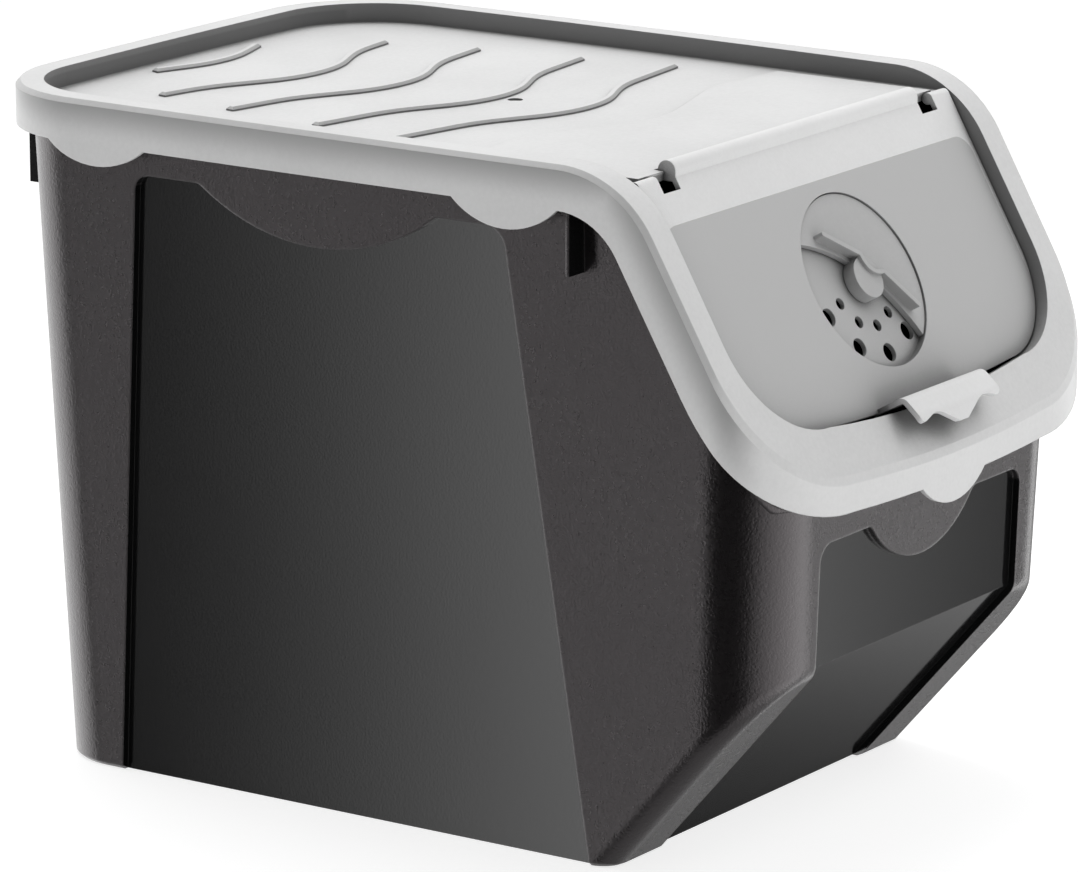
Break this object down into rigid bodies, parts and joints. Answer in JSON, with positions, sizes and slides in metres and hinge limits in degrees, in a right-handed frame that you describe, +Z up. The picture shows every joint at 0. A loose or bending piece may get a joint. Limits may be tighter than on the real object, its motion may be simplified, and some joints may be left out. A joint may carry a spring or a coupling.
{
  "type": "potato storage bin",
  "caption": "Tapered kitchen bin for potatoes with a clip-on lid, a hinged flap in its sloped front and a turning vent shutter.",
  "frame": {"origin": "centre of the bin's overall footprint, on the floor it stands on", "axes": "+Z up; -Y towards the sloped front with the flap; +X to the right when seen from behind, across the bin"},
  "size_m": [0.2708, 0.4056, 0.2907],
  "materials": {
    "tub_plastic": "fine grained anthracite polypropylene",
    "lid_plastic": "satin pale grey polypropylene",
    "flap_plastic": "satin pale grey polypropylene",
    "shutter_plastic": "satin mid grey polypropylene"
  },
  "bodies": {
    "bin": {"bin_body": "tub_plastic"},
    "lid": {"lid": "lid_plastic"},
    "flap": {"front_flap": "flap_plastic"},
    "shutter": {"vent_shutter": "shutter_plastic"}
  },
  "joints": [
    {"name": "lid_lift", "type": "slide", "parent": "bin", "child": "lid", "axis": [0, 0, 1], "range_m": [0, 0.16]},
    {"name": "flap_hinge", "type": "hinge", "parent": "lid", "child": "flap", "pos_m": [0, -0.12124, 0.28118], "axis": [-1, 0, 0], "range_deg": [0, 150]},
    {"name": "shutter_turn", "type": "hinge", "parent": "flap", "child": "shutter", "pos_m": [0, -0.15178, 0.22607], "axis": [0, -0.866, 0.5], "continuous": true}
  ]
}
